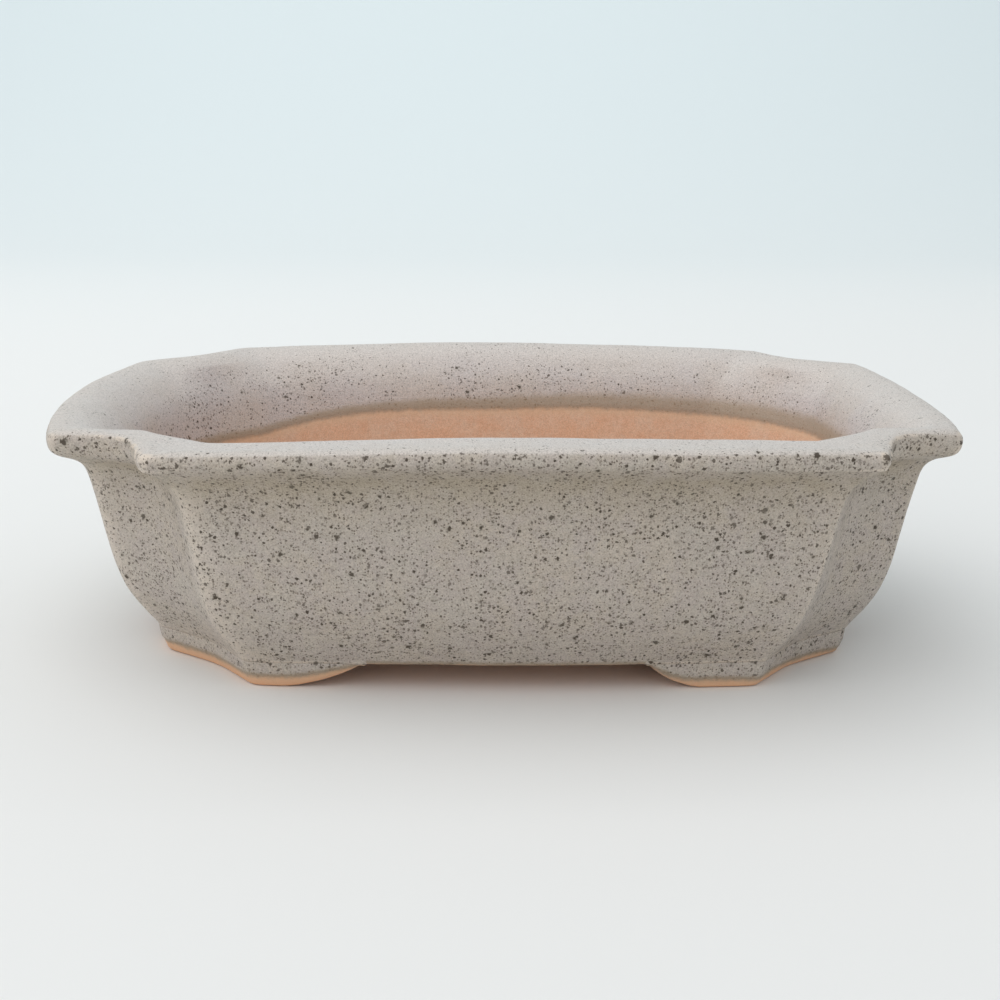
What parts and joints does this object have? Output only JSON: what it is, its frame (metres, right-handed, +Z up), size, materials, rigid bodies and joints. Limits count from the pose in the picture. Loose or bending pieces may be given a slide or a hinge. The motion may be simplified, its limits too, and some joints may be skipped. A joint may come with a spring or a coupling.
{
  "type": "bonsai pot",
  "caption": "Low oblong bonsai pot with bowed sides, recessed corners, a flared lip and bracket feet, in speckled glaze.",
  "frame": {"origin": "on the ground, under the middle of the pot's bounding box", "axes": "+X along the pot's length to the right, +Y to the back, +Z up; the front long side faces -Y"},
  "size_m": [0.19, 0.137, 0.0536],
  "materials": {
    "speckled_glaze": "satin, warm grey with dense dark speckles, broken to cream on the edges",
    "bare_clay": "unglazed, salmon-orange, fine grained and matt"
  },
  "bodies": {
    "root": {"floor_slab": "bare_clay", "wall_front": "speckled_glaze", "wall_back": "speckled_glaze", "wall_left": "speckled_glaze", "wall_right": "speckled_glaze", "rim_front": "speckled_glaze", "rim_back": "speckled_glaze", "rim_left": "speckled_glaze", "rim_right": "speckled_glaze", "corner_front_left": "speckled_glaze", "corner_front_right": "speckled_glaze", "corner_back_left": "speckled_glaze", "corner_back_right": "speckled_glaze", "rim_corner_front_left": "speckled_glaze", "rim_corner_front_right": "speckled_glaze", "rim_corner_back_left": "speckled_glaze", "rim_corner_back_right": "speckled_glaze", "foot_front_left": "speckled_glaze", "foot_front_right": "speckled_glaze", "foot_back_left": "speckled_glaze", "foot_back_right": "speckled_glaze"}
  },
  "joints": []
}
